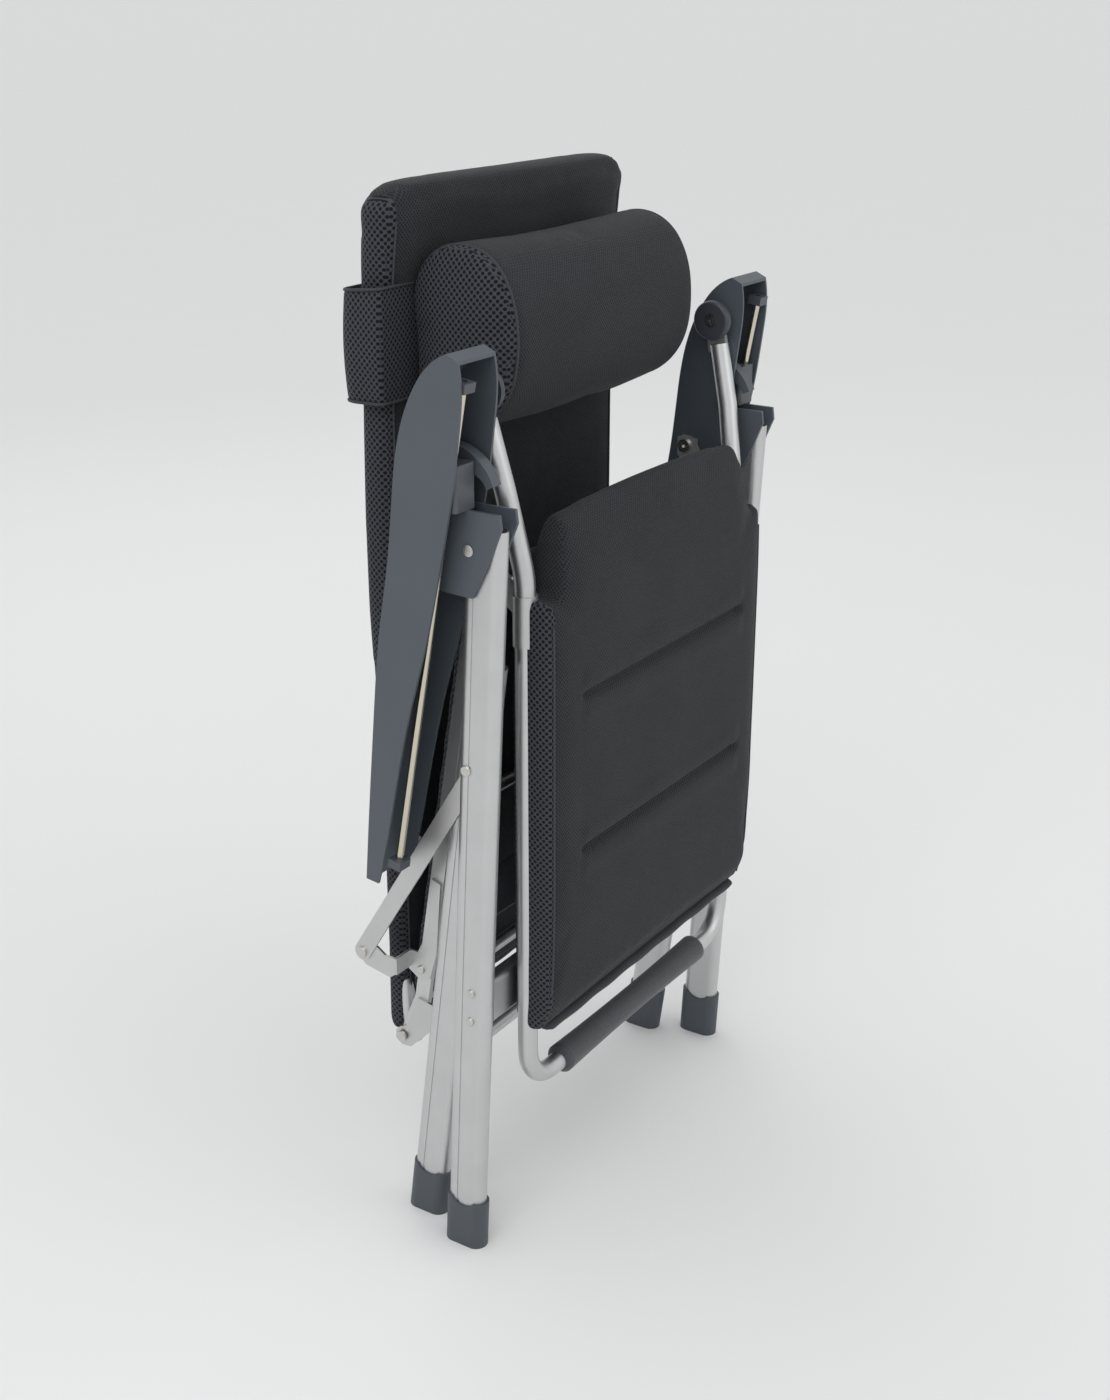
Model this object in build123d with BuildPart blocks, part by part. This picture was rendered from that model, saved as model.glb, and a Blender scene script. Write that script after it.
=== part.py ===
from build123d import *
import math
import os

# Folding relax chair, stored folded and standing on its four feet.
# Millimetres. +Z up, sitter faces -Y, -X is the sitter's right. Mirrored about X = 0.
os.makedirs("parts", exist_ok=True)

# ---- driving dimensions -------------------------------------------------
LEG_W, LEG_T, LEG_WALL = 46, 22, 1.8     # flat oval leg section
X_OUT, X_IN = 273, 246                   # outer and inner leg centre planes
CROSS = (-18, 594)                       # leg crossing rivet (Y, Z)
HOODP = (-30, 832)                       # hood screw
S_F, S_R = (14, 829), (117, 210)         # seat front and rear hinges
A_R, DISC = (92, 462), (-10, 978)        # armrest rear pin, front disc
LOBE = (149, 323)                        # carrier bar rear rivet
ROD0, ROD1 = (-35, 1000), (62, 470)      # armrest rod ends (Y, Z)
X_ROD = 299
LEVER_P = (0, 912)                       # lever pin
TUBE_R = 11
X_TUBE = 221
PAD_X = 207
X_BACK = 211                             # back frame tube centre plane
BACK_PAD_X = 196
Y_SHIFT = -36.3                          # centres the footprint on the origin

SIDES = (("right", -1), ("left", 1))


def side_plane(x):
    """Plane whose local axes are the chair's Y and Z, at X = x, normal +X."""
    return Plane(origin=(x, 0, 0), x_dir=(0, 1, 0), z_dir=(1, 0, 0))


def save(part, name):
    placed = part.moved(Location((0, Y_SHIFT, 0)))
    placed.label = name
    export_step(placed, f"parts/{name}.step")


def slab(xa, xb):
    """Lower X and thickness of a plate lying between two X planes."""
    return min(xa, xb), abs(xb - xa)


def line_y(p, q, z):
    return p[0] + (q[0] - p[0]) * (z - p[1]) / (q[1] - p[1])


# ---- legs ------------------------------------------------------------------
OUT_FOOT, OUT_TOP = (0, 15), (-42, 853)
IN_FOOT, IN_TOP = (72, 15), (-20.3, 700)


def leg_plane(foot, top, x, back=0.0):
    dy, dz = top[0] - foot[0], top[1] - foot[1]
    n = math.hypot(dy, dz)
    o = (x, foot[0] - back * dy / n, foot[1] - back * dz / n)
    return Plane(origin=o, x_dir=(1, 0, 0), z_dir=(0, dy / n, dz / n)), n


for side, s in SIDES:
    for name, xc, foot, top in (("outer_leg_" + side, s * X_OUT, OUT_FOOT, OUT_TOP),
                                ("inner_leg_" + side, s * X_IN, IN_FOOT, IN_TOP)):
        pl, n = leg_plane(foot, top, xc)
        with BuildPart() as leg:
            with BuildSketch(pl):
                SlotOverall(LEG_W, LEG_T, rotation=90)
                SlotOverall(LEG_W - 2 * LEG_WALL, LEG_T - 2 * LEG_WALL, rotation=90, mode=Mode.SUBTRACT)
            extrude(amount=n)
            # shallow groove down the outer face
            with BuildSketch(pl):
                with Locations((s * (LEG_T / 2), 7)):
                    Rectangle(1.6, 3)
            extrude(amount=n, mode=Mode.SUBTRACT)
            with BuildSketch(side_plane(xc - 20)):
                with Locations(CROSS):
                    Circle(4.05)
            extrude(amount=40, mode=Mode.SUBTRACT)
            if name.startswith("outer"):
                with BuildSketch(side_plane(xc - 20)):
                    with Locations(HOODP):
                        Circle(3.55)
                extrude(amount=40, mode=Mode.SUBTRACT)
        save(leg.part, name)

for group, x0, foot, top in (("outer_foot_caps", X_OUT, OUT_FOOT, OUT_TOP),
                             ("inner_foot_caps", X_IN, IN_FOOT, IN_TOP)):
    with BuildPart() as caps:
        for s in (-1, 1):
            grow = 3.0 if group.startswith("outer") else 2.4
            pl, n = leg_plane(foot, top, s * x0, back=22)
            with BuildSketch(pl):
                SlotOverall(LEG_W + 2 * grow, LEG_T + 2 * min(grow, 2.2), rotation=90)
            extrude(amount=68)
        for s in (-1, 1):
            pl, n = leg_plane(foot, top, s * x0)
            with BuildSketch(pl):
                SlotOverall(LEG_W, LEG_T, rotation=90)
            extrude(amount=80, mode=Mode.SUBTRACT)
            # saddle cut of the rim, lower at the middle of the leg's flat face
            with BuildSketch(side_plane(s * x0 - 30)):
                with Locations((line_y(foot, top, 68), 72)):
                    Circle(18)
            extrude(amount=60, mode=Mode.SUBTRACT)
        with Locations((0, 0, -50)):
            Box(1000, 600, 100, mode=Mode.SUBTRACT)
    save(caps.part, group)

# stretchers
with BuildPart() as st:
    with BuildSketch(side_plane(-(X_OUT - LEG_T / 2))):
        with Locations((line_y(OUT_FOOT, OUT_TOP, 316) - 8, 316)):
            RectangleRounded(20, 52, 6)
            RectangleRounded(16, 48, 4, mode=Mode.SUBTRACT)
    extrude(amount=2 * (X_OUT - LEG_T / 2))
save(st.part, "outer_stretcher")
with BuildPart() as st:
    with BuildSketch(side_plane(-(X_IN - LEG_T / 2))):
        with Locations((line_y(IN_FOOT, IN_TOP, 402), 402)):
            RectangleRounded(20, 50, 4)
            RectangleRounded(15, 45, 2, mode=Mode.SUBTRACT)
    extrude(amount=2 * (X_IN - LEG_T / 2))
save(st.part, "inner_flat_stretcher")
with BuildPart() as st:
    with BuildSketch(side_plane(-(X_IN - LEG_T / 2))):
        with Locations((line_y(IN_FOOT, IN_TOP, 205), 205)):
            Circle(10)
            Circle(8.5, mode=Mode.SUBTRACT)
    extrude(amount=2 * (X_IN - LEG_T / 2))
save(st.part, "inner_round_stretcher")


def domes(name, spots, r=5.0, h=2.4, x_face=0.0):
    """Dome heads standing on a side face, one pair per (Y, Z) spot."""
    with BuildPart() as d:
        for s in (-1, 1):
            for (y, z) in spots:
                xa, t = slab(s * x_face, s * (x_face + h))
                with BuildSketch(side_plane(xa)):
                    with Locations((y, z)):
                        Circle(r)
                extrude(amount=t)
        tips = [e for e in d.edges().filter_by(GeomType.CIRCLE) if abs(abs(e.center().X) - (x_face + h)) < 0.01]
        fillet(tips, h * 0.55)
    save(d.part, name)


domes("stretcher_screws", [(line_y(OUT_FOOT, OUT_TOP, 333) - 3, 333), (line_y(OUT_FOOT, OUT_TOP, 298) - 3, 298)],
      x_face=X_OUT + LEG_T / 2)

# crossing rivets: head outside the outer leg, shank through both legs and the carrier bar
with BuildPart() as rv:
    for s in (-1, 1):
        xa, t = slab(s * (X_IN - LEG_T / 2 - 1), s * (X_OUT + LEG_T / 2))
        with BuildSketch(side_plane(xa)):
            with Locations(CROSS):
                Circle(4.0)
        extrude(amount=t)
        xa, t = slab(s * (X_OUT + LEG_T / 2), s * (X_OUT + LEG_T / 2 + 2.6))
        with BuildSketch(side_plane(xa)):
            with Locations(CROSS):
                Circle(6.2)
        extrude(amount=t)
    tips = [e for e in rv.edges().filter_by(GeomType.CIRCLE) if abs(abs(e.center().X) - (X_OUT + LEG_T / 2 + 2.6)) < 0.01]
    fillet(tips, 1.6)
save(rv.part, "crossing_rivets")

# ---- seat ------------------------------------------------------------------
ux, uz = S_F[0] - S_R[0], S_F[1] - S_R[1]
sl = math.hypot(ux, uz)
su = (ux / sl, uz / sl)          # rear hinge to front hinge
sn = (-su[1], su[0])             # towards -Y, the underside when open


def seat_pt(a, b):
    return (S_R[0] + su[0] * a + sn[0] * b, S_R[1] + su[1] * a + sn[1] * b)


for side, s in SIDES:
    xa, t = slab(s * 222, s * 229)
    with BuildPart() as rail:
        with BuildSketch(side_plane(xa)):
            with BuildLine():
                Polyline(seat_pt(-8, -8), seat_pt(-8, 8), seat_pt(40, 26), seat_pt(560, 26), seat_pt(sl + 9, 9),
                         seat_pt(sl + 9, -9), seat_pt(560, 8), seat_pt(60, 8), close=True)
            make_face()
            with Locations(S_F, S_R):
                Circle(4.05, mode=Mode.SUBTRACT)
        extrude(amount=t)
    save(rail.part, "seat_rail_" + side)
    # flat bar that hangs the seat from the crossing rivet
    xa, t = slab(s * 258.4, s * 260.6)
    dy, dz = LOBE[0] - CROSS[0], LOBE[1] - CROSS[1]
    with BuildPart() as bar:
        with BuildSketch(side_plane(xa)):
            with Locations(Location(((CROSS[0] + LOBE[0]) / 2, (CROSS[1] + LOBE[1]) / 2, 0),
                                    (0, 0, math.degrees(math.atan2(dz, dy))))):
                SlotCenterToCenter(math.hypot(dy, dz), 21)
            with Locations(CROSS):
                Circle(4.05, mode=Mode.SUBTRACT)
        extrude(amount=t)
    save(bar.part, "carrier_bar_" + side)
    # bent bracket: lobe plane outside, main plate against the rail, joined by a web
    with BuildPart() as br:
        xa, t = slab(s * 255.4, s * 258.4)
        with BuildSketch(side_plane(xa)):
            with BuildLine():
                Polyline((LOBE[0] + 9, LOBE[1] + 6), (LOBE[0] + 9, LOBE[1] - 7), (LOBE[0] - 4, LOBE[1] - 17), (112, 300),
                         (104, 306), (104, 326), (118, 326), (130, 334), close=True)
            make_face()
        extrude(amount=t)
        xa, t = slab(s * 229, s * 258.4)
        with BuildSketch(side_plane(xa)):
            with Locations((104, 316)):
                Rectangle(4, 20)
        extrude(amount=t)
        xa, t = slab(s * 229, s * 232)
        with BuildSketch(side_plane(xa)):
            with BuildLine():
                Polyline((106, 326), (106, 302), (88, 290), (76, 296), (66, 330), (58, 420), (70, 424), (80, 350), (92, 326), close=True)
            make_face()
        extrude(amount=t)
    save(br.part, "bent_bracket_" + side)
    xa, t = slab(s * 229, s * 232)
    with BuildPart() as br:
        with BuildSketch(side_plane(xa)):
            with BuildLine():
                Polyline((127, 214), (127, 203), (119, 197), (106, 198), (72, 232), (70, 262), (94, 266), (112, 224), (121, 220), close=True)
            make_face()
            with Locations(S_R):
                Circle(4.05, mode=Mode.SUBTRACT)
        extrude(amount=t)
    save(br.part, "rear_hinge_bracket_" + side)

with BuildPart() as seat_tubes:
    for a in (60, 300, 560):
        c = seat_pt(a, 17)
        with BuildSketch(side_plane(-222)):
            with Locations(c):
                Circle(7)
                Circle(5.6, mode=Mode.SUBTRACT)
        extrude(amount=444)
save(seat_tubes.part, "seat_cross_tubes")
with BuildPart() as pad:
    with BuildSketch(side_plane(-PAD_X)):
        with BuildLine():
            Polyline(seat_pt(52, -8), seat_pt(52, 9.7), seat_pt(575, 9.7), seat_pt(575, -8), close=True)
        make_face()
    extrude(amount=2 * PAD_X)
    fillet(pad.edges().filter_by(Axis.X), 5)
save(pad.part, "seat_pad")
domes("bracket_rivets", [LOBE], r=6.5, h=3.0, x_face=260.6)
domes("bracket_screws", [(88, 305)], r=5, h=2.4, x_face=232)

# ---- backrest --------------------------------------------------------------
BACK_Y = 133
with BuildPart() as bf:
    pts = [(-X_BACK, 117, 194), (-X_BACK, BACK_Y, 300), (-X_BACK, BACK_Y, 1148), (X_BACK, BACK_Y, 1148),
           (X_BACK, BACK_Y, 300), (X_BACK, 117, 194)]
    with BuildLine() as path:
        FilletPolyline(*pts, radius=[200, 55, 55, 200])
    start = Plane(origin=pts[0], z_dir=(0, pts[1][1] - pts[0][1], pts[1][2] - pts[0][2]))
    with BuildSketch(start):
        Circle(10)
    sweep(path=path.wires()[0])
save(bf.part, "back_frame")
with BuildPart() as lugs:
    for s in (-1, 1):
        xa, t = slab(s * 229, s * 232.6)
        with BuildSketch(side_plane(xa)):
            with BuildLine():
                Polyline((84, 454), (84, 470), (92, 474), (140, 486), (140, 440), (92, 450), close=True)
            make_face()
        extrude(amount=t)
        xa, t = slab(s * 219, s * 229)
        with BuildSketch(side_plane(xa)):
            with Locations((BACK_Y, 463)):
                Rectangle(14, 40)
        extrude(amount=t)
save(lugs.part, "armrest_lugs")
with BuildPart() as pins:
    for s in (-1, 1):
        # rear hinge pins of the seat, carried by the back frame
        xa, t = slab(s * 218, s * 234)
        with BuildSketch(side_plane(xa)):
            with Locations(S_R):
                Circle(4.0)
        extrude(amount=t)
        xa, t = slab(s * 234, s * 237)
        with BuildSketch(side_plane(xa)):
            with Locations(S_R):
                Circle(6.5)
        extrude(amount=t)
save(pins.part, "rear_hinge_rivets")
with BuildPart() as pad:
    with BuildSketch(side_plane(-BACK_PAD_X)):
        with BuildLine():
            Polyline((119, 215), (119, 1050), (98, 1130), (88, 1156), (100, 1165), (112, 1154), (118, 1130), (146, 1080), (155, 900),
                     (157, 760), (148, 600), (138, 470), (140, 215), close=True)
        make_face()
    extrude(amount=2 * BACK_PAD_X)
    fillet(pad.edges().filter_by(Axis.X).group_by(Axis.Z)[0], 5)
save(pad.part, "back_pad")

# ---- headrest --------------------------------------------------------------
with BuildPart() as pillow:
    with BuildSketch(side_plane(-182)):
        with BuildLine():
            Polyline((118.4, 935), (118.4, 1045), (95, 1080), (60, 1098), (22, 1085), (-2, 1045), (-8, 1000), (8, 955),
                     (40, 928), (85, 918), close=True)
        make_face()
    extrude(amount=364)
    fillet(pillow.faces().filter_by(Axis.X).edges(), 12)
save(pillow.part, "head_pillow")
with BuildPart() as band:
    for s in (-1, 1):
        xa, t = slab(s * 230.5, s * 233.5)
        with BuildSketch(side_plane(xa)):
            with BuildLine():
                Polyline((118, 940), (118, 1045), (164, 1055), (164, 945), close=True)
            make_face()
        extrude(amount=t)
    with BuildSketch(side_plane(-233.5)):
        with Locations((165.5, 1000)):
            Rectangle(3, 110)
    extrude(amount=467)
    for s in (-1, 1):
        xa, t = slab(s * 200, s * 233.5)
        with BuildSketch(side_plane(xa)):
            with Locations((116.7, 992)):
                Rectangle(2.6, 100)
        extrude(amount=t)
    # the pillow's back face stands clear of the band's inner turn
    with Locations((0, 60, 1000)):
        Box(420, 116.9, 260, mode=Mode.SUBTRACT)
save(band.part, "head_band")

# ---- footrest --------------------------------------------------------------
with BuildPart() as ff:
    pts = [(-238, -17, 950), (-232, -34, 880), (-221, -50, 790), (-221, -50, 195), (221, -50, 195), (221, -50, 790),
           (232, -34, 880), (238, -17, 950)]
    with BuildLine() as path:
        FilletPolyline(*pts, radius=[160, 160, 46, 46, 160, 160])
    start = Plane(origin=pts[0], z_dir=(6, -17, -70))
    with BuildSketch(start):
        Circle(TUBE_R)
    sweep(path=path.wires()[0])
    # flattened spade ends that take the discs
    for s in (-1, 1):
        xa, t = slab(s * 235, s * 241)
        with BuildSketch(side_plane(xa)):
            with BuildLine():
                Polyline((-29, 940), (-22, 978), (2, 978), (-5, 940), close=True)
            make_face()
            with Locations(DISC):
                Circle(13)
        extrude(amount=t)
save(ff.part, "footrest_frame")
with BuildPart() as fp:
    with BuildSketch(side_plane(-PAD_X)):
        with BuildLine():
            Polyline((-37, 275), (-37, 770), (-44, 838), (-58, 858), (-74, 850), (-88, 810), (-94, 700), (-94, 420), (-88, 300),
                     (-66, 272), close=True)
        make_face()
    extrude(amount=2 * PAD_X)
    fillet(fp.edges().filter_by(Axis.X).group_by(Axis.Z)[0], 4)
save(fp.part, "footrest_pad")
with BuildPart() as grip:
    with BuildSketch(Plane(origin=(-160, -50, 195), x_dir=(0, 1, 0), z_dir=(1, 0, 0))):
        Circle(16.5)
        Circle(TUBE_R + 0.1, mode=Mode.SUBTRACT)
    extrude(amount=320)
    fillet(grip.edges().filter_by(GeomType.CIRCLE).sort_by(SortBy.RADIUS)[-2:], 3)
save(grip.part, "foam_grip")
with BuildPart() as clamp:
    for s in (-1, 1):
        with BuildSketch(Plane.XY.offset(772)):
            with Locations((s * X_TUBE, -50)):
                Circle(13.2)
                Circle(TUBE_R, mode=Mode.SUBTRACT)
        extrude(amount=-54)
        xa, t = slab(s * 216.4, s * 219.6)
        with BuildSketch(side_plane(xa)):
            with BuildLine():
                Polyline((-38.6, 772), (-38.6, 745), (-20, 760), (24, 818), (24, 838), (12, 842), (2, 838), (-20, 800), close=True)
            make_face()
            with Locations(S_F):
                Circle(4.02, mode=Mode.SUBTRACT)
        extrude(amount=t)
save(clamp.part, "clamp_plates")
with BuildPart() as hs:
    for s in (-1, 1):
        xa, t = slab(s * 213.2, s * 216.4)
        with BuildSketch(side_plane(xa)):
            with Locations(S_F):
                Circle(8)
                RegularPolygon(2.6, 6, mode=Mode.SUBTRACT)
        extrude(amount=t)
        xa, t = slab(s * 216.4, s * 230)
        with BuildSketch(side_plane(xa)):
            with Locations(S_F):
                Circle(3.98)
        extrude(amount=t)
save(hs.part, "front_hinge_screws")
with BuildPart() as dc:
    for s in (-1, 1):
        xa, t = slab(s * 226, s * 235)
        with BuildSketch(side_plane(xa)):
            with Locations(DISC):
                Circle(23)
        extrude(amount=t)
    rims = [e for e in dc.edges().filter_by(GeomType.CIRCLE) if abs(abs(e.center().X) - 226) < 0.01]
    fillet(rims, 4)
    for s in (-1, 1):
        xa, t = slab(s * 225, s * 228.5)
        with BuildSketch(side_plane(xa)):
            with Locations(DISC):
                Circle(8)
        extrude(amount=t, mode=Mode.SUBTRACT)
save(dc.part, "pivot_discs")
with BuildPart() as ds:
    for s in (-1, 1):
        xa, t = slab(s * 226.2, s * 228.5)
        with BuildSketch(side_plane(xa)):
            with Locations(DISC):
                Circle(5.5)
                RegularPolygon(2.4, 6, mode=Mode.SUBTRACT)
        extrude(amount=t)
save(ds.part, "disc_screws")

# ---- armrests --------------------------------------------------------------
ARM_REAR = [(96, 452), (90, 520), (78, 640), (66, 740), (53, 813), (45, 880), (34, 945), (18, 985), (-4, 1014), (-24, 1026)]
ARM_FRONT = [(-37, 1020), (-40, 990), (-36, 950), (-29, 900), (-20, 855), (-10, 810), (12, 720), (30, 660), (54, 560), (72, 480), (80, 450)]
X_A0, X_A1 = 250, 312
for side, s in SIDES:
    xa, t = slab(s * X_A0, s * X_A1)
    with BuildPart() as arm:
        with BuildSketch(side_plane(xa)):
            with BuildLine():
                Spline(*ARM_REAR)
                Line(ARM_REAR[-1], ARM_FRONT[0])
                Spline(*ARM_FRONT)
                Line(ARM_FRONT[-1], ARM_REAR[0])
            make_face()
        extrude(amount=t)
        # hollow of the channel, open on the underside
        xb, tb = slab(s * (X_A0 + 3), s * (X_A1 - 3))
        with BuildSketch(side_plane(xb)):
            with BuildLine():
                Spline(*[(y - 5.5, z - 2.5) for y, z in ARM_REAR[:-2]] + [(-10, 1009), (-30, 1017)])
                Polyline((-30, 1017), (-80, 1014), (-80, 440), (60, 440), (ARM_REAR[0][0] - 5.5, ARM_REAR[0][1] - 2.5))
            make_face()
        extrude(amount=tb, mode=Mode.SUBTRACT)
    save(arm.part, "armrest_" + side)
RDY, RDZ = ROD1[0] - ROD0[0], ROD1[1] - ROD0[1]
RL = math.hypot(RDY, RDZ)
for side, s in SIDES:
    rp = Plane(origin=(s * X_ROD, ROD0[0], ROD0[1]), x_dir=(1, 0, 0), z_dir=(0, RDY / RL, RDZ / RL))
    with BuildPart() as rod:
        with BuildSketch(rp):
            Circle(4)
        extrude(amount=RL)
    save(rod.part, "armrest_rod_" + side)
    with BuildPart() as cap:
        for off in (0.0, RL - 10):
            cp = Plane(origin=(s * X_ROD, ROD0[0] + RDY / RL * off, ROD0[1] + RDZ / RL * off), x_dir=(1, 0, 0),
                       z_dir=(0, RDY / RL, RDZ / RL))
            with BuildSketch(cp):
                Rectangle(18, 16)
                Circle(4, mode=Mode.SUBTRACT)
            extrude(amount=10)
    save(cap.part, "rod_supports_" + side)
    xa, t = slab(s * 234, s * 250)
    with BuildPart() as pin:
        with BuildSketch(side_plane(xa)):
            with Locations(A_R):
                Circle(5)
        extrude(amount=t)
    save(pin.part, "armrest_pin_" + side)

# ---- hood, clamp and release lever -------------------------------------------
for side, s in SIDES:
    cheek = [(15, 872), (15, 785), (-33, 783), (-52, 820), (-68, 858), (-66, 872)]
    with BuildPart() as hood:
        for x1, x2 in ((257.4, 261.2), (284.8, 288.8)):
            xa, t = slab(s * x1, s * x2)
            with BuildSketch(side_plane(xa)):
                with BuildLine():
                    Polyline(*cheek, close=True)
                make_face()
                with Locations(HOODP):
                    Circle(3.5, mode=Mode.SUBTRACT)
            extrude(amount=t)
        xa, t = slab(s * 257.4, s * 288.8)
        with BuildSketch(side_plane(xa)):
            with BuildLine():
                # the web stops short of the leg's swing, so the slot ahead of it is open
                Polyline((15, 872), (15, 785), (10, 785), (10, 866), (-5, 866), (-5, 872), close=True)
            make_face()
        extrude(amount=t)
    save(hood.part, "leg_hood_" + side)
    with BuildPart() as scr:
        xa, t = slab(s * 257.4, s * 288.8)
        with BuildSketch(side_plane(xa)):
            with Locations(HOODP):
                Circle(3.48)
        extrude(amount=t)
        xa, t = slab(s * 288.8, s * 290.8)
        with BuildSketch(side_plane(xa)):
            with Locations(HOODP):
                Circle(6)
                RegularPolygon(2.4, 6, mode=Mode.SUBTRACT)
        extrude(amount=t)
    save(scr.part, "hood_screw_" + side)
    # clamp block that slides on the rod, standing on the hood
    rod_y = ROD0[0] + RDY / RDZ * (905 - ROD0[1])
    with BuildPart() as blk:
        with BuildSketch(Plane.XY.offset(872)):
            with Locations((s * 290, rod_y + 2)):
                RectangleRounded(34, 26, 5)
        extrude(amount=46)
        bp = Plane(origin=(s * X_ROD, ROD0[0], ROD0[1]), x_dir=(1, 0, 0), z_dir=(0, RDY / RL, RDZ / RL))
        with BuildSketch(bp):
            Circle(4.06)
        extrude(amount=300, mode=Mode.SUBTRACT)
    save(blk.part, "rod_clamp_" + side)
    # crescent lever beside the clamp, turning about its own boss
    xa, t = slab(s * 258, s * 272.4)
    with BuildPart() as lev:
        with BuildSketch(side_plane(xa)):
            with BuildLine():
                ThreePointArc((14, 931), (-24, 923), (-48, 894))
                Line((-48, 894), (-40, 890))
                ThreePointArc((-40, 890), (-26, 903), (-6, 896))
                Polyline((-6, 896), (12, 896), (14, 931))
            make_face()
        extrude(amount=t)
        xb, tb = slab(s * 261, s * 269.4)
        with BuildSketch(side_plane(xb)):
            with BuildLine():
                Polyline((-16, 917), (-28, 911), (-36, 902), (-30, 903), (-18, 906), close=True)
            make_face()
        extrude(amount=tb, mode=Mode.SUBTRACT)
        with BuildSketch(side_plane(xa)):
            with Locations(LEVER_P):
                Circle(3.05)
        extrude(amount=t, mode=Mode.SUBTRACT)
    save(lev.part, "release_lever_" + side)
    with BuildPart() as pin:
        xa, t = slab(s * 257, s * 273)
        with BuildSketch(side_plane(xa)):
            with Locations(LEVER_P):
                Circle(3)
        extrude(amount=t)
    save(pin.part, "lever_pin_" + side)
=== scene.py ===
import bpy, bmesh, math
import numpy as np
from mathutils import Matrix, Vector


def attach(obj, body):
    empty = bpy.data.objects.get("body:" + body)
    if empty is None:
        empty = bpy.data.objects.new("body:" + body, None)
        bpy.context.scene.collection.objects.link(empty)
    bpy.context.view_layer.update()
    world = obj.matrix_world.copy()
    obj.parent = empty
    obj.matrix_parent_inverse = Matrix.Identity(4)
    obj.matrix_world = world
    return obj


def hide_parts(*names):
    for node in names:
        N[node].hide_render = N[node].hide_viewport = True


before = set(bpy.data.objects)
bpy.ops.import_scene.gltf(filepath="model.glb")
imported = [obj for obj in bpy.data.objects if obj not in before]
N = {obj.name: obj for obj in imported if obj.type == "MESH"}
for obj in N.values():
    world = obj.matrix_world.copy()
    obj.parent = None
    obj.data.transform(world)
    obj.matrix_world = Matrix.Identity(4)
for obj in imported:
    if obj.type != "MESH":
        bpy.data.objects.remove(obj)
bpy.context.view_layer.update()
SH = -0.0363                      # the CAD's shift along Y


# ---------------------------------------------------------------- node helpers
def new_mat(name):
    m = bpy.data.materials.new(name)
    m.use_nodes = True
    nt = m.node_tree
    return m, nt, nt.nodes["Principled BSDF"]


class NB:
    """Short forms for wiring math nodes."""
    def __init__(self, nt):
        self.nt = nt

    def m(self, op, a, b=None, c=None, clamp=False):
        n = self.nt.nodes.new("ShaderNodeMath")
        n.operation = op
        n.use_clamp = clamp
        for i, v in enumerate((a, b, c)):
            if v is None:
                continue
            if isinstance(v, (int, float)):
                n.inputs[i].default_value = v
            else:
                self.nt.links.new(v, n.inputs[i])
        return n.outputs[0]

    def xyz(self):
        tc = self.nt.nodes.new("ShaderNodeTexCoord")
        s = self.nt.nodes.new("ShaderNodeSeparateXYZ")
        self.nt.links.new(tc.outputs["Object"], s.inputs[0])
        return tc.outputs["Object"], s.outputs[0], s.outputs[1], s.outputs[2]

    def ramp(self, v, lo, hi):
        n = self.nt.nodes.new("ShaderNodeMapRange")
        n.interpolation_type = "SMOOTHSTEP"
        n.inputs["From Min"].default_value = lo
        n.inputs["From Max"].default_value = hi
        self.nt.links.new(v, n.inputs["Value"])
        return n.outputs[0]

    def mix(self, f, a, b):
        n = self.nt.nodes.new("ShaderNodeMix")
        n.data_type = "RGBA"
        self.nt.links.new(f, n.inputs["Factor"])
        for sock, v in (("A", a), ("B", b)):
            k = [s for s in n.inputs if s.name == sock and s.type == "RGBA"][0]
            if isinstance(v, (tuple, list)):
                k.default_value = tuple(v) + ((1,) if len(v) == 3 else ())
            else:
                self.nt.links.new(v, k)
        return [s for s in n.outputs if s.type == "RGBA"][0]

    def fmix(self, f, a, b):
        return self.m("ADD", self.m("MULTIPLY", a, self.m("SUBTRACT", 1.0, f)), self.m("MULTIPLY", b, f))

    def noise(self, vec, scale, detail=3.0, stretch=None):
        if stretch:
            mp = self.nt.nodes.new("ShaderNodeMapping")
            mp.inputs["Scale"].default_value = stretch
            self.nt.links.new(vec, mp.inputs["Vector"])
            vec = mp.outputs[0]
        n = self.nt.nodes.new("ShaderNodeTexNoise")
        n.inputs["Scale"].default_value = scale
        n.inputs["Detail"].default_value = detail
        self.nt.links.new(vec, n.inputs["Vector"])
        return n.outputs["Fac"]

    def hexholes(self, u, v, pu, pv, r):
        """1 in a hole, 0 on the threads: two lattices half a step apart."""
        best = None
        for off in (0.0, 0.5):
            fu = self.m("MULTIPLY", self.m("SUBTRACT", self.m("FRACT", self.m("ADD", self.m("DIVIDE", u, pu), off)), 0.5), pu)
            fv = self.m("MULTIPLY", self.m("SUBTRACT", self.m("FRACT", self.m("ADD", self.m("DIVIDE", v, pv), off)), 0.5), pv)
            d = self.m("SQRT", self.m("ADD", self.m("MULTIPLY", fu, fu), self.m("MULTIPLY", fv, fv)))
            best = d if best is None else self.m("MINIMUM", best, d)
        return self.m("SUBTRACT", 1.0, self.ramp(best, r * 0.62, r * 1.12))

    def bump(self, h, strength, dist, bsdf):
        n = self.nt.nodes.new("ShaderNodeBump")
        n.inputs["Strength"].default_value = strength
        n.inputs["Distance"].default_value = dist
        self.nt.links.new(h, n.inputs["Height"])
        self.nt.links.new(n.outputs[0], bsdf.inputs["Normal"])


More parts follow.
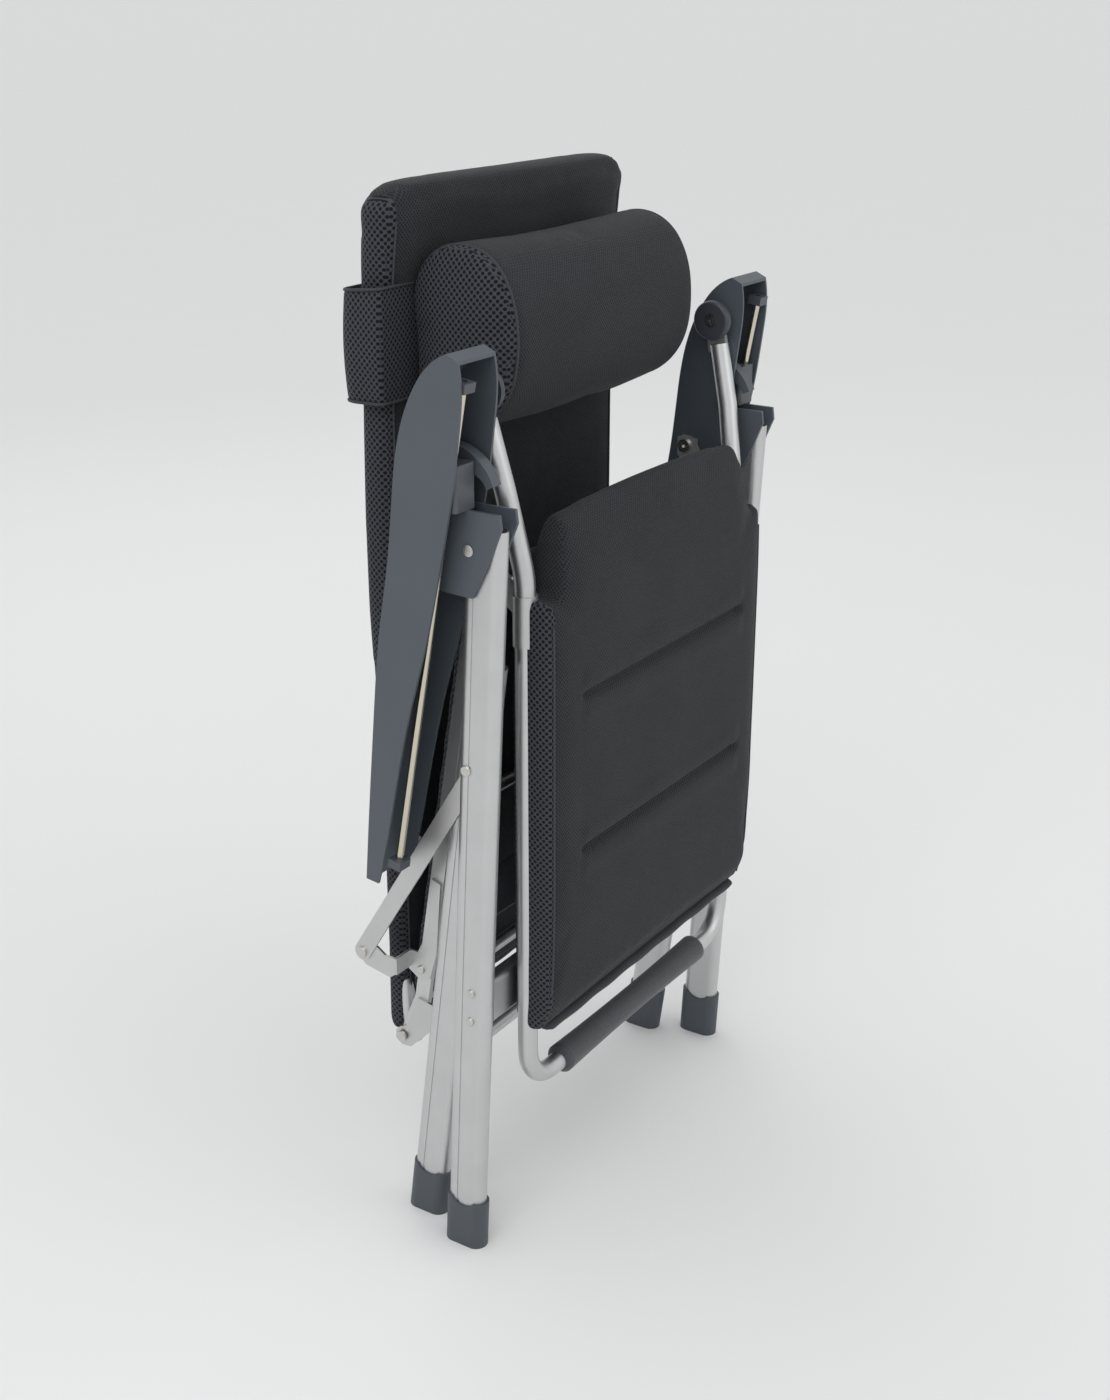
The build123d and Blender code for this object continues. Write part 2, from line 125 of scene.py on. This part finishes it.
def mesh_fabric(name, x_side, coarse_all=False):
    """Spacer mesh: open hexagonal side mesh, finer ribbed mesh on the face."""
    m, nt, b = new_mat(name)
    k = NB(nt)
    o, x, y, z = k.xyz()
    geo = nt.nodes.new("ShaderNodeNewGeometry")
    sn = nt.nodes.new("ShaderNodeSeparateXYZ")
    tc = [n for n in nt.nodes if n.type == "TEX_COORD"][0]
    nt.links.new(tc.outputs["Normal"], sn.inputs[0])
    ax = k.m("ABSOLUTE", sn.outputs[0])
    az = k.m("ABSOLUTE", sn.outputs[2])
    side = k.ramp(k.m("ABSOLUTE", x), x_side - 0.0008, x_side + 0.0008)
    # horizontal coordinate runs round the corner without a jump in spacing
    facing = k.ramp(ax, 0.60, 0.80)
    # a flattened path coordinate: x on the face, y on the side
    u = k.fmix(k.m("GREATER_THAN", ax, 0.70), x, y)
    v = k.fmix(k.m("GREATER_THAN", az, 0.78), z, y)
    big = k.hexholes(u, v, 0.0068, 0.0074, 0.00205)
    small = k.hexholes(u, v, 0.0042, 0.0048, 0.00125)
    if coarse_all:
        side = k.m("ADD", k.m("MULTIPLY", side, 0.0), 1.0)
    hole = k.fmix(side, k.m("MULTIPLY", small, 0.75), big)
    blot = k.noise(o, 14.0, 4.0)
    thread = k.noise(o, 900.0, 2.0)
    base = k.mix(side, (0.026, 0.0290, 0.0330), (0.050, 0.055, 0.066))
    tone = k.mix(k.ramp(blot, 0.35, 0.68), (0.023, 0.026, 0.030), (0.030, 0.033, 0.038))
    tone2 = k.mix(side, tone, base)
    tone3 = k.mix(k.ramp(thread, 0.4, 0.7), tone2, (0.056, 0.061, 0.070))
    soft = k.mix(k.m("ADD", k.m("MULTIPLY", thread, 0.0), 0.72), tone3, tone2)
    # holes painted near-black, darker than any thread: painted shade inside the mesh openings
    col = k.mix(hole, soft, (0.003, 0.0035, 0.0045))
    nt.links.new(col, b.inputs["Base Color"])
    rough = k.m("ADD", k.m("MULTIPLY", blot, 0.12), 0.72)
    nt.links.new(rough, b.inputs["Roughness"])
    b.inputs["Sheen Weight"].default_value = 0.06
    b.inputs["Specular IOR Level"].default_value = 0.22
    b.inputs["Sheen Roughness"].default_value = 0.45
    h = k.m("ADD", k.m("MULTIPLY", hole, -1.0), k.m("MULTIPLY", thread, 0.25))
    k.bump(h, 0.75, 0.0011, b)
    return m


def plastic(name, c, rough=0.46, grain=1400.0):
    m, nt, b = new_mat(name)
    k = NB(nt)
    o, x, y, z = k.xyz()
    big = k.noise(o, 9.0, 5.0)
    fine = k.noise(o, grain, 2.0)
    scuff = k.noise(o, 60.0, 6.0, (1, 1, 0.25))
    col = k.mix(k.ramp(big, 0.3, 0.7), tuple(v * 0.97 for v in c), tuple(v * 1.03 for v in c))
    nt.links.new(col, b.inputs["Base Color"])
    nt.links.new(k.m("ADD", k.m("MULTIPLY", scuff, 0.06), rough - 0.03), b.inputs["Roughness"])
    k.bump(fine, 0.14, 0.0004, b)
    return m


def metal(name, c, rough, streak=(260, 260, 3), aniso=0.0):
    m, nt, b = new_mat(name)
    k = NB(nt)
    o, x, y, z = k.xyz()
    st = k.noise(o, 6.0, 6.0, streak)
    cloud = k.noise(o, 22.0, 4.0)
    col = k.mix(k.ramp(cloud, 0.3, 0.75), tuple(v * 0.95 for v in c), c)
    nt.links.new(col, b.inputs["Base Color"])
    b.inputs["Metallic"].default_value = 1.0
    nt.links.new(k.m("ADD", k.m("MULTIPLY", st, 0.14), rough - 0.07), b.inputs["Roughness"])
    k.bump(st, 0.05, 0.0003, b)
    return m


def foam_mat():
    m, nt, b = new_mat("foam_grip")
    k = NB(nt)
    o, x, y, z = k.xyz()
    cell = k.noise(o, 620.0, 3.0)
    big = k.noise(o, 30.0, 4.0)
    col = k.mix(k.ramp(cell, 0.35, 0.7), (0.045, 0.050, 0.056), (0.068, 0.074, 0.081))
    nt.links.new(col, b.inputs["Base Color"])
    nt.links.new(k.m("ADD", k.m("MULTIPLY", big, 0.15), 0.66), b.inputs["Roughness"])
    b.inputs["Sheen Weight"].default_value = 0.2
    k.bump(k.m("ADD", cell, k.m("MULTIPLY", big, 0.5)), 0.35, 0.0006, b)
    return m


ALU = metal("anodised_aluminium", (0.62, 0.63, 0.63), 0.40)
ALU_PLATE = metal("aluminium_plate", (0.60, 0.605, 0.60), 0.44, (60, 60, 60))
STEEL = metal("zinc_steel", (0.60, 0.59, 0.56), 0.24, (80, 80, 80))
ROD = metal("rod_steel", (0.66, 0.61, 0.50), 0.20)
SLATE = plastic("slate_plastic", (0.072, 0.088, 0.104))
DARK = plastic("dark_plastic", (0.070, 0.080, 0.092), 0.42)
FOOTP = plastic("foot_plastic", (0.062, 0.072, 0.084), 0.50, 900.0)
DISCP = plastic("disc_plastic", (0.045, 0.049, 0.062), 0.38)
FOAM = foam_mat()
SEAM, _nt, _b = new_mat("binding_thread")
_k = NB(_nt)
_o, _x, _y, _z = _k.xyz()
_w = _k.noise(_o, 700.0, 2.0)
_nt.links.new(_k.mix(_w, (0.022, 0.025, 0.029), (0.050, 0.055, 0.062)), _b.inputs["Base Color"])
_b.inputs["Roughness"].default_value = 0.8
_k.bump(_w, 0.5, 0.0006, _b)


def put(o, m):
    o.data.materials.clear()
    o.data.materials.append(m)


for name, o in N.items():
    if name.startswith("armrest_rod"):
        m = ROD
    elif "foot_caps" in name:
        m = FOOTP
    elif name == "pivot_discs":
        m = DISCP
    elif name in ("armrest_right", "armrest_left", "inner_flat_stretcher") or "leg_hood" in name:
        m = SLATE
    elif "release_lever" in name:
        m = SLATE
    elif "rod_clamp" in name or "rod_supports" in name:
        m = DARK
    elif any(w in name for w in ("screw", "rivet", "pin")):
        m = STEEL
    elif any(w in name for w in ("bracket", "bar", "plates", "lugs")):
        m = ALU_PLATE
    else:
        m = ALU
    for i in range(max(1, len(o.material_slots))):
        if len(o.material_slots):
            o.material_slots[i].link = "OBJECT"
            o.material_slots[i].material = m


# ---------------------------------------------------------------- mesh helpers
def mesh_obj(name, verts, faces, mat, smooth=True):
    me = bpy.data.meshes.new(name)
    me.from_pydata([tuple(v) for v in verts], [], faces)
    me.update()
    bm = bmesh.new()
    bm.from_mesh(me)
    bmesh.ops.remove_doubles(bm, verts=bm.verts, dist=1e-5)
    bmesh.ops.recalc_face_normals(bm, faces=bm.faces)
    bm.to_mesh(me)
    bm.free()
    o = bpy.data.objects.new(name, me)
    bpy.context.scene.collection.objects.link(o)
    put(o, mat)
    if smooth:
        for p in me.polygons:
            p.use_smooth = True
    return o


def edge_samples(a, b, r, n_mid, n_edge=7):
    """From a to b, finer within r of both ends."""
    t = [r * (1 - math.cos(i / n_edge * math.pi / 2)) for i in range(n_edge)]
    lo = [a + v for v in t]
    hi = [b - v for v in reversed(t)]
    mid = list(np.linspace(a + r, b - r, n_mid))
    return lo + mid + hi


def pad(name, half_w, z0, ztop, front, rear, mat, r=0.024, nx=30, nz=50, waist=0.0):
    """Closed upright cushion. front(x, z) and rear(x, z) give Y; ztop(x) the top line."""
    xs = edge_samples(-1, 1, r / half_w, nx)
    vs = edge_samples(0, 1, r / (ztop(0) - z0), nz)
    V, F = [], []
    idx = {}
    for side in (0, 1):
        for i, u in enumerate(xs):
            for j, v in enumerate(vs):
                x = u * half_w
                z = z0 + (ztop(x) - z0) * v
                w = half_w - waist * math.sin(math.pi * v) ** 2
                x2 = u * w
                e = min(half_w - abs(x), z - z0, ztop(x) - z)
                t = min(max(e / r, 0.0), 1.0)
                kf = math.sqrt(max(0.0, 1 - (1 - t) ** 2))
                yf, yr = front(x, z), rear(x, z)
                ym = (yf + yr) / 2
                y = ym + ((yf if side == 0 else yr) - ym) * kf
                idx[side, i, j] = len(V)
                V.append((x2, y + SH, z))
    for side in (0, 1):
        for i in range(len(xs) - 1):
            for j in range(len(vs) - 1):
                F.append((idx[side, i, j], idx[side, i + 1, j], idx[side, i + 1, j + 1], idx[side, i, j + 1]))
    return mesh_obj(name, V, F, mat)


def inflate(o, voxel, cap, pressure=4.0, frames=20):
    """Cloth under pressure, with a cap on how far a point moves, applied to the mesh."""
    sc = bpy.context.scene
    for x in bpy.context.selected_objects:
        x.select_set(False)
    bpy.context.view_layer.objects.active = o
    rm = o.modifiers.new("remesh", "REMESH")
    rm.mode = "VOXEL"
    rm.voxel_size = voxel
    rm.use_smooth_shade = True
    bpy.ops.object.modifier_apply(modifier=rm.name)
    n = len(o.data.vertices)
    before = np.zeros(n * 3)
    o.data.vertices.foreach_get("co", before)
    before = before.reshape(-1, 3)
    c = o.modifiers.new("cloth", "CLOTH")
    c.settings.quality = 5
    c.settings.mass = 0.3
    c.settings.use_pressure = True
    c.settings.uniform_pressure_force = pressure
    c.settings.effector_weights.gravity = 0
    c.collision_settings.use_collision = False
    c.point_cache.frame_end = frames
    for f in range(1, frames + 1):
        sc.frame_set(f)
    dg = bpy.context.evaluated_depsgraph_get()
    ev = o.evaluated_get(dg).to_mesh()
    after = np.zeros(n * 3)
    ev.vertices.foreach_get("co", after)
    after = after.reshape(-1, 3)
    o.modifiers.remove(c)
    sc.frame_set(1)
    d = after - before
    ln = np.linalg.norm(d, axis=1, keepdims=True)
    d = d * np.minimum(1.0, cap / np.maximum(ln, 1e-9))
    o.data.vertices.foreach_set("co", (before + d).ravel())
    o.data.update()


def subdiv(o, n=1):
    s = o.modifiers.new("smooth", "SUBSURF")
    s.levels = n
    s.render_levels = n
    bpy.context.view_layer.objects.active = o
    bpy.ops.object.modifier_apply(modifier=s.name)
    for p in o.data.polygons:
        p.use_smooth = True


def move_points(o, fn):
    n = len(o.data.vertices)
    co = np.zeros(n * 3)
    o.data.vertices.foreach_get("co", co)
    co = fn(co.reshape(-1, 3))
    o.data.vertices.foreach_set("co", co.ravel())
    o.data.update()


def tube(name, pts, r, mat, body, closed=False):
    cu = bpy.data.curves.new(name, "CURVE")
    cu.dimensions = "3D"
    sp = cu.splines.new("NURBS")
    sp.points.add(len(pts) - 1)
    for q, p in zip(sp.points, pts):
        q.co = (*p, 1)
    sp.order_u = 4
    sp.use_endpoint_u = not closed
    sp.use_cyclic_u = closed
    sp.resolution_u = 3
    cu.bevel_depth = r
    cu.bevel_resolution = 2
    tmp = bpy.data.objects.new(name, cu)
    bpy.context.scene.collection.objects.link(tmp)
    bpy.context.view_layer.update()
    me = bpy.data.meshes.new_from_object(tmp.evaluated_get(bpy.context.evaluated_depsgraph_get()))
    bpy.data.objects.remove(tmp)
    me.name = name
    o = bpy.data.objects.new(name, me)
    bpy.context.scene.collection.objects.link(o)
    put(o, mat)
    for p in me.polygons:
        p.use_smooth = True
    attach(o, body)
    return o


def snap(o, pts, lift=0.0004):
    """Each point moved onto the finished cushion's surface."""
    bpy.context.view_layer.update()
    out = []
    for p in pts:
        ok, loc, nrm, _ = o.closest_point_on_mesh(Vector(p))
        out.append(tuple(loc + nrm * lift) if ok else tuple(p))
    return out


def interp(table):
    a = np.array(table)
    return lambda z: float(np.interp(z, a[:, 0], a[:, 1]))


# ---------------------------------------------------------------- backrest pad
bf = interp([(0.2, .120), (0.9, .120), (1.05, .117), (1.12, .108), (1.172, .096)])
br = interp([(0.2, .146), (0.45, .146), (0.6, .150), (0.72, .157), (0.82, .158), (0.95, .154), (1.08, .149), (1.172, .143)])
BACK_W = 0.2285
back = pad("back_cushion", BACK_W, 0.206, lambda x: 1.170 - 0.010 * (abs(x) / 0.23) ** 6 - 0.018 * max(0, (abs(x) - 0.19) / 0.038) ** 2,
           lambda x, z: bf(z), lambda x, z: br(z), mesh_fabric("back_mesh", BACK_W - 0.016), r=0.008, nx=34, nz=64)
inflate(back, 0.0065, 0.005)
subdiv(back)
move_points(back, lambda co: np.column_stack([np.clip(co[:, 0], -0.2288, 0.2288), co[:, 1], co[:, 2]]))
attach(back, "backrest")
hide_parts("back_pad")

# ---------------------------------------------------------------- footrest pad
FW = 0.2342


def foot_top(x):
    t = min(max((abs(x) - 0.188) / 0.020, 0.0), 1.0)
    t = t * t * (3 - 2 * t)
    return 0.862 - 0.010 * (abs(x) / 0.19) ** 2 * (1 - t) - 0.092 * t


ff = interp([(0.268, -.068), (0.30, -.082), (0.40, -.087), (0.70, -.087), (0.78, -.085), (0.83, -.078), (0.862, -.064)])
fr = interp([(0.268, -.040), (0.30, -.0355), (0.76, -.0355), (0.83, -.042), (0.862, -.056)])
foot = pad("footrest_cushion", FW, 0.268, foot_top, lambda x, z: ff(z), lambda x, z: fr(z),
           mesh_fabric("foot_mesh", FW - 0.013), r=0.006, nx=44, nz=44)
inflate(foot, 0.0062, 0.005)
subdiv(foot)
move_points(foot, lambda co: np.column_stack([np.clip(co[:, 0], -0.2345, 0.2345), co[:, 1], co[:, 2]]))


def sew(co):
    x, y, z = co[:, 0], co[:, 1], co[:, 2]
    on_front = np.clip((-0.075 + SH - y) / 0.012, 0, 1)
    for zc in (0.478, 0.655):
        end = np.clip((0.180 - np.abs(x)) / 0.012, 0, 1)
        g = np.exp(-((z - zc) / 0.0052) ** 2)
        puff = np.exp(-((np.abs(z - zc) - 0.020) / 0.012) ** 2)
        y = y + on_front * end * (0.0075 * g - 0.0016 * puff)
    co[:, 1] = y
    return co


move_points(foot, sew)
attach(foot, "footrest")
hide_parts("footrest_pad")

# ---------------------------------------------------------------- seat pad
S_R, S_F = np.array((0.117, 0.210)), np.array((0.014, 0.829))
sv = S_F - S_R


def seat_line(z):
    return S_R[0] + (z - S_R[1]) * sv[0] / sv[1]


seat = pad("seat_cushion", 0.2205, 0.262, lambda x: 0.782, lambda x, z: seat_line(z) - 0.0105, lambda x, z: seat_line(z) + 0.0085,
           mesh_fabric("seat_mesh", 0.2105), r=0.009, nx=26, nz=40)
inflate(seat, 0.008, 0.0018)
subdiv(seat)
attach(seat, "seat")
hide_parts("seat_pad")

# ---------------------------------------------------------------- head pillow
sec = [(.116, .925), (.1175, .990), (.1165, 1.045), (.106, 1.082), (.078, 1.105), (.044, 1.107), (.014, 1.092), (-.006, 1.058),
       (-.012, 1.012), (-.005, .968), (.018, .936), (.052, .917), (.088, .914)]


def closed_smooth(pts, n):
    p = np.array(pts)
    m = len(p)
    out = []
    for i in range(n):
        t = i / n * m
        k0 = int(t)
        f = t - k0
        a, b, c, d = (p[(k0 + q - 1) % m] for q in range(4))
        out.append(0.5 * ((2 * b) + (c - a) * f + (2 * a - 5 * b + 4 * c - d) * f ** 2 + (3 * b - a - 3 * c + d) * f ** 3))
    return np.array(out)


ring = closed_smooth(sec, 56)
cen = np.array((0.072, 1.008))
PX = 0.185
V, F = [], []
stations = []
for q in np.linspace(0, 1, 34):
    stations.append((-PX + 0.018 + q * 2 * (PX - 0.018), 1.0))
end_prof = [(0.0, 1.0), (0.008, 0.992), (0.014, 0.965), (0.018, 0.90), (0.0205, 0.72), (0.0215, 0.45), (0.022, 0.15)]
left = [(-(PX - 0.018) - d, s) for d, s in reversed(end_prof[1:])]
right = [((PX - 0.018) + d, s) for d, s in end_prof[1:]]
stations = left + stations + right
for x, s in stations:
    for y, z in ring:
        yy = cen[0] + (y - cen[0]) * s
        zz = cen[1] + (z - cen[1]) * s
        V.append((x, yy + SH, zz))
n = len(ring)
for i in range(len(stations) - 1):
    for j in range(n):
        F.append((i * n + j, i * n + (j + 1) % n, (i + 1) * n + (j + 1) % n, (i + 1) * n + j))
V.append((stations[0][0], cen[0] + SH, cen[1]))
V.append((stations[-1][0], cen[0] + SH, cen[1]))
for j in range(n):
    F.append((len(V) - 2, j, (j + 1) % n))
    F.append((len(V) - 1, (len(stations) - 1) * n + j, (len(stations) - 1) * n + (j + 1) % n))
pillow = mesh_obj("pillow", V, F, mesh_fabric("pillow_mesh", PX - 0.010))
inflate(pillow, 0.0075, 0.006)
subdiv(pillow)
move_points(pillow, lambda co: np.column_stack([co[:, 0], np.minimum(co[:, 1], 0.1185 + SH), co[:, 2]]))
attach(pillow, "headrest")
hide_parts("head_pillow")
for s in (-1, 1):
    pr = [(s * (PX - 0.010), cen[0] + (y - cen[0]) * 1.035 + SH, cen[1] + (z - cen[1]) * 1.035) for y, z in ring[::2]]
    pr = [(a, min(b, 0.1165 + SH), c) for a, b, c in pr]
    pr = snap(pillow, pr)
    tube(f"pillow_piping_{'right' if s < 0 else 'left'}", pr, 0.0016, SEAM, "headrest", closed=True)

# ---------------------------------------------------------------- mesh band
def band_ring(off):
    hx, y0, y1, r = 0.2355 + off, 0.112 - off * 0.3, 0.168 + off, 0.020
    pts = []
    for cx, cy, a0 in ((hx - r, y1 - r, 0), (-(hx - r), y1 - r, 90), (-(hx - r), y0 + 0.006, 180), (hx - r, y0 + 0.006, 270)):
        rr = r if a0 < 180 else 0.006
        ccx = math.copysign(hx - rr, cx)
        for q in range(7):
            a = math.radians(a0 + q * 15)
            pts.append((ccx + rr * math.cos(a), cy + rr * math.sin(a)))
        nxt = {0: (-(hx - r), y1), 90: (-hx, y0 + 0.006), 180: (hx - .006, y0), 270: (hx, y1 - r)}[a0]
        p = pts[-1]
        for q in range(1, 8):
            pts.append((p[0] + (nxt[0] - p[0]) * q / 8, p[1] + (nxt[1] - p[1]) * q / 8))
    return pts


outer, inner = band_ring(0.0), band_ring(-0.0035)
NB_ = len(outer)
V, F = [], []
rows = 15
for j in range(rows):
    v = j / (rows - 1)
    bulge = 0.0035 * math.sin(math.pi * v)
    for layer in (outer, inner):
        for (x, y) in layer:
            c = (0.0, 0.14)
            d = math.hypot(x, (y - c[1]) * 3) + 1e-6
            lean = 0.010 * (0.16 - y) / 0.05     # the band climbs towards the pillow
            zz = 0.947 + v * 0.112 + lean * (0.3 + 0.7 * v) * 0.5
            V.append((x + bulge * x / d, y + bulge * (y - c[1]) * 3 / d + SH, zz))
for j in range(rows - 1):
    for L, flip in ((0, 0), (1, 1)):
        for i in range(NB_):
            a = j * 2 * NB_ + L * NB_
            b = (j + 1) * 2 * NB_ + L * NB_
            F.append((a + i, a + (i + 1) % NB_, b + (i + 1) % NB_, b + i))
for j in (0, rows - 1):
    a = j * 2 * NB_
    for i in range(NB_):
        F.append((a + i, a + (i + 1) % NB_, a + NB_ + (i + 1) % NB_, a + NB_ + i))
band = mesh_obj("mesh_band", V, F, mesh_fabric("band_mesh", 0.1, coarse_all=True))
subdiv(band)
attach(band, "headrest")
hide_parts("head_band")
for v, nm in ((0.0, "low"), (1.0, "high")):
    pts = []
    for (x, y) in outer[::2]:
        lean = 0.010 * (0.16 - y) / 0.05
        pts.append((x * 1.001, y + SH, 0.947 + v * 0.112 + lean * (0.3 + 0.7 * v) * 0.5))
    tube("band_binding_" + nm, pts, 0.0017, SEAM, "headrest", closed=True)

# ---------------------------------------------------------------- piping and hems
for s in (-1, 1):
    nm = "right" if s < 0 else "left"
    xs = s * (BACK_W - 0.016)
    pts = [(xs, bf(z) + 0.0015 + SH - 0.0045, z) for z in np.linspace(0.215, 1.12, 20)]
    pts += [(xs, 0.104 + SH, 1.145), (s * (BACK_W - 0.026), 0.112 + SH, 1.160)]
    pts = snap(back, pts)
    tube("back_piping_" + nm, pts, 0.0013, SEAM, "backrest")
    xs = s * (FW - 0.013)
    pts = [(xs, ff(z) + 0.0035 + SH, z) for z in np.linspace(0.285, 0.745, 14)]
    pts = snap(foot, pts)
    tube("foot_piping_" + nm, pts, 0.0013, SEAM, "footrest")


def hem(name, hw, y0, y1, z, body):
    """Narrow folded strip that closes a cushion's lower edge."""
    V, F = [], []
    xs = np.linspace(-hw, hw, 40)
    prof = [(y0, z + 0.006), (y0 - 0.0018, z), (y0 + 0.002, z - 0.0055), (y1 - 0.002, z - 0.0055), (y1 + 0.0018, z), (y1, z + 0.006)]
    for x in xs:
        for (y, zz) in prof:
            V.append((x, y + SH, zz + 0.0008 * math.sin(x * 90)))
    m = len(prof)
    for i in range(len(xs) - 1):
        for j in range(m):
            F.append((i * m + j, i * m + (j + 1) % m, (i + 1) * m + (j + 1) % m, (i + 1) * m + j))
    F.append(tuple(range(m)))
    F.append(tuple((len(xs) - 1) * m + j for j in range(m)))
    o = mesh_obj(name, V, F, SEAM)
    subdiv(o)
    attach(o, body)
    return o


hem("footrest_hem", 0.214, -0.076, -0.048, 0.2715, "footrest")
hem("back_hem", 0.208, 0.126, 0.142, 0.2095, "backrest")

# ---------------------------------------------------------------- foam grip
V, F = [], []
gx = np.linspace(-0.160, 0.160, 60)
nr = 40
for x in gx:
    t = abs(x) / 0.160
    rad = 0.0152 + 0.0022 * t ** 2
    e = (0.160 - abs(x)) / 0.005
    if e < 1:
        rad = 0.0118 + (rad - 0.0118) * math.sqrt(max(0, 1 - (1 - e) ** 2))
    for q in range(nr):
        a = 2 * math.pi * q / nr
        V.append((x, -0.050 + SH + rad * math.cos(a), 0.195 + rad * math.sin(a)))
for i in range(len(gx) - 1):
    for q in range(nr):
        F.append((i * nr + q, i * nr + (q + 1) % nr, (i + 1) * nr + (q + 1) % nr, (i + 1) * nr + q))
F.append(tuple(range(nr)))
F.append(tuple((len(gx) - 1) * nr + q for q in range(nr)))
grip = mesh_obj("foam_sleeve", V, F, FOAM)
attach(grip, "footrest")
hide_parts("foam_grip")

# ---------------------------------------------------------------- floor, light, camera
bpy.ops.mesh.primitive_plane_add(size=400, location=(0, 0, 0))
floor = bpy.context.object
floor.name = "floor"
m, nt, b = new_mat("floor_paint")
k = NB(nt)
o_, x_, y_, z_ = k.xyz()
nt.links.new(k.mix(k.noise(o_, 3.0, 2.0), (0.84, 0.84, 0.84), (0.85, 0.85, 0.85)), b.inputs["Base Color"])
b.inputs["Roughness"].default_value = 0.9
put(floor, m)

sc = bpy.context.scene
w = bpy.data.worlds.new("studio")
sc.world = w
w.use_nodes = True
w.node_tree.nodes["Background"].inputs[0].default_value = (0.90, 0.905, 0.91, 1)
w.node_tree.nodes["Background"].inputs[1].default_value = 0.90


def area(name, loc, target, size, power):
    l = bpy.data.lights.new(name, "AREA")
    l.size = size
    l.energy = power
    o = bpy.data.objects.new(name, l)
    sc.collection.objects.link(o)
    o.location = loc
    o.rotation_euler = (Vector(target) - Vector(loc)).to_track_quat("-Z", "Y").to_euler()


area("key", (-2.6, -0.6, 3.0), (0, 0, 0.5), 2.0, 24)
area("front", (0.4, -3.2, 2.0), (0, 0, 0.6), 2.2, 11)
area("back", (1.8, 2.4, 2.6), (0, 0, 0.7), 2.0, 8)

cam = bpy.data.cameras.new("camera")
cam.sensor_fit = "HORIZONTAL"
cam.sensor_width = 36
cam.lens = 1850 / 1110 * 36
co = bpy.data.objects.new("camera", cam)
sc.collection.objects.link(co)
az, el = math.radians(56.9), math.radians(21.3)
co.location = (-1.691, -1.044 + SH, 1.350)
fwd = Vector((math.sin(az) * math.cos(el), math.cos(az) * math.cos(el), -math.sin(el)))
co.rotation_euler = fwd.to_track_quat("-Z", "Y").to_euler()
sc.camera = co
sc.view_settings.view_transform = "Standard"
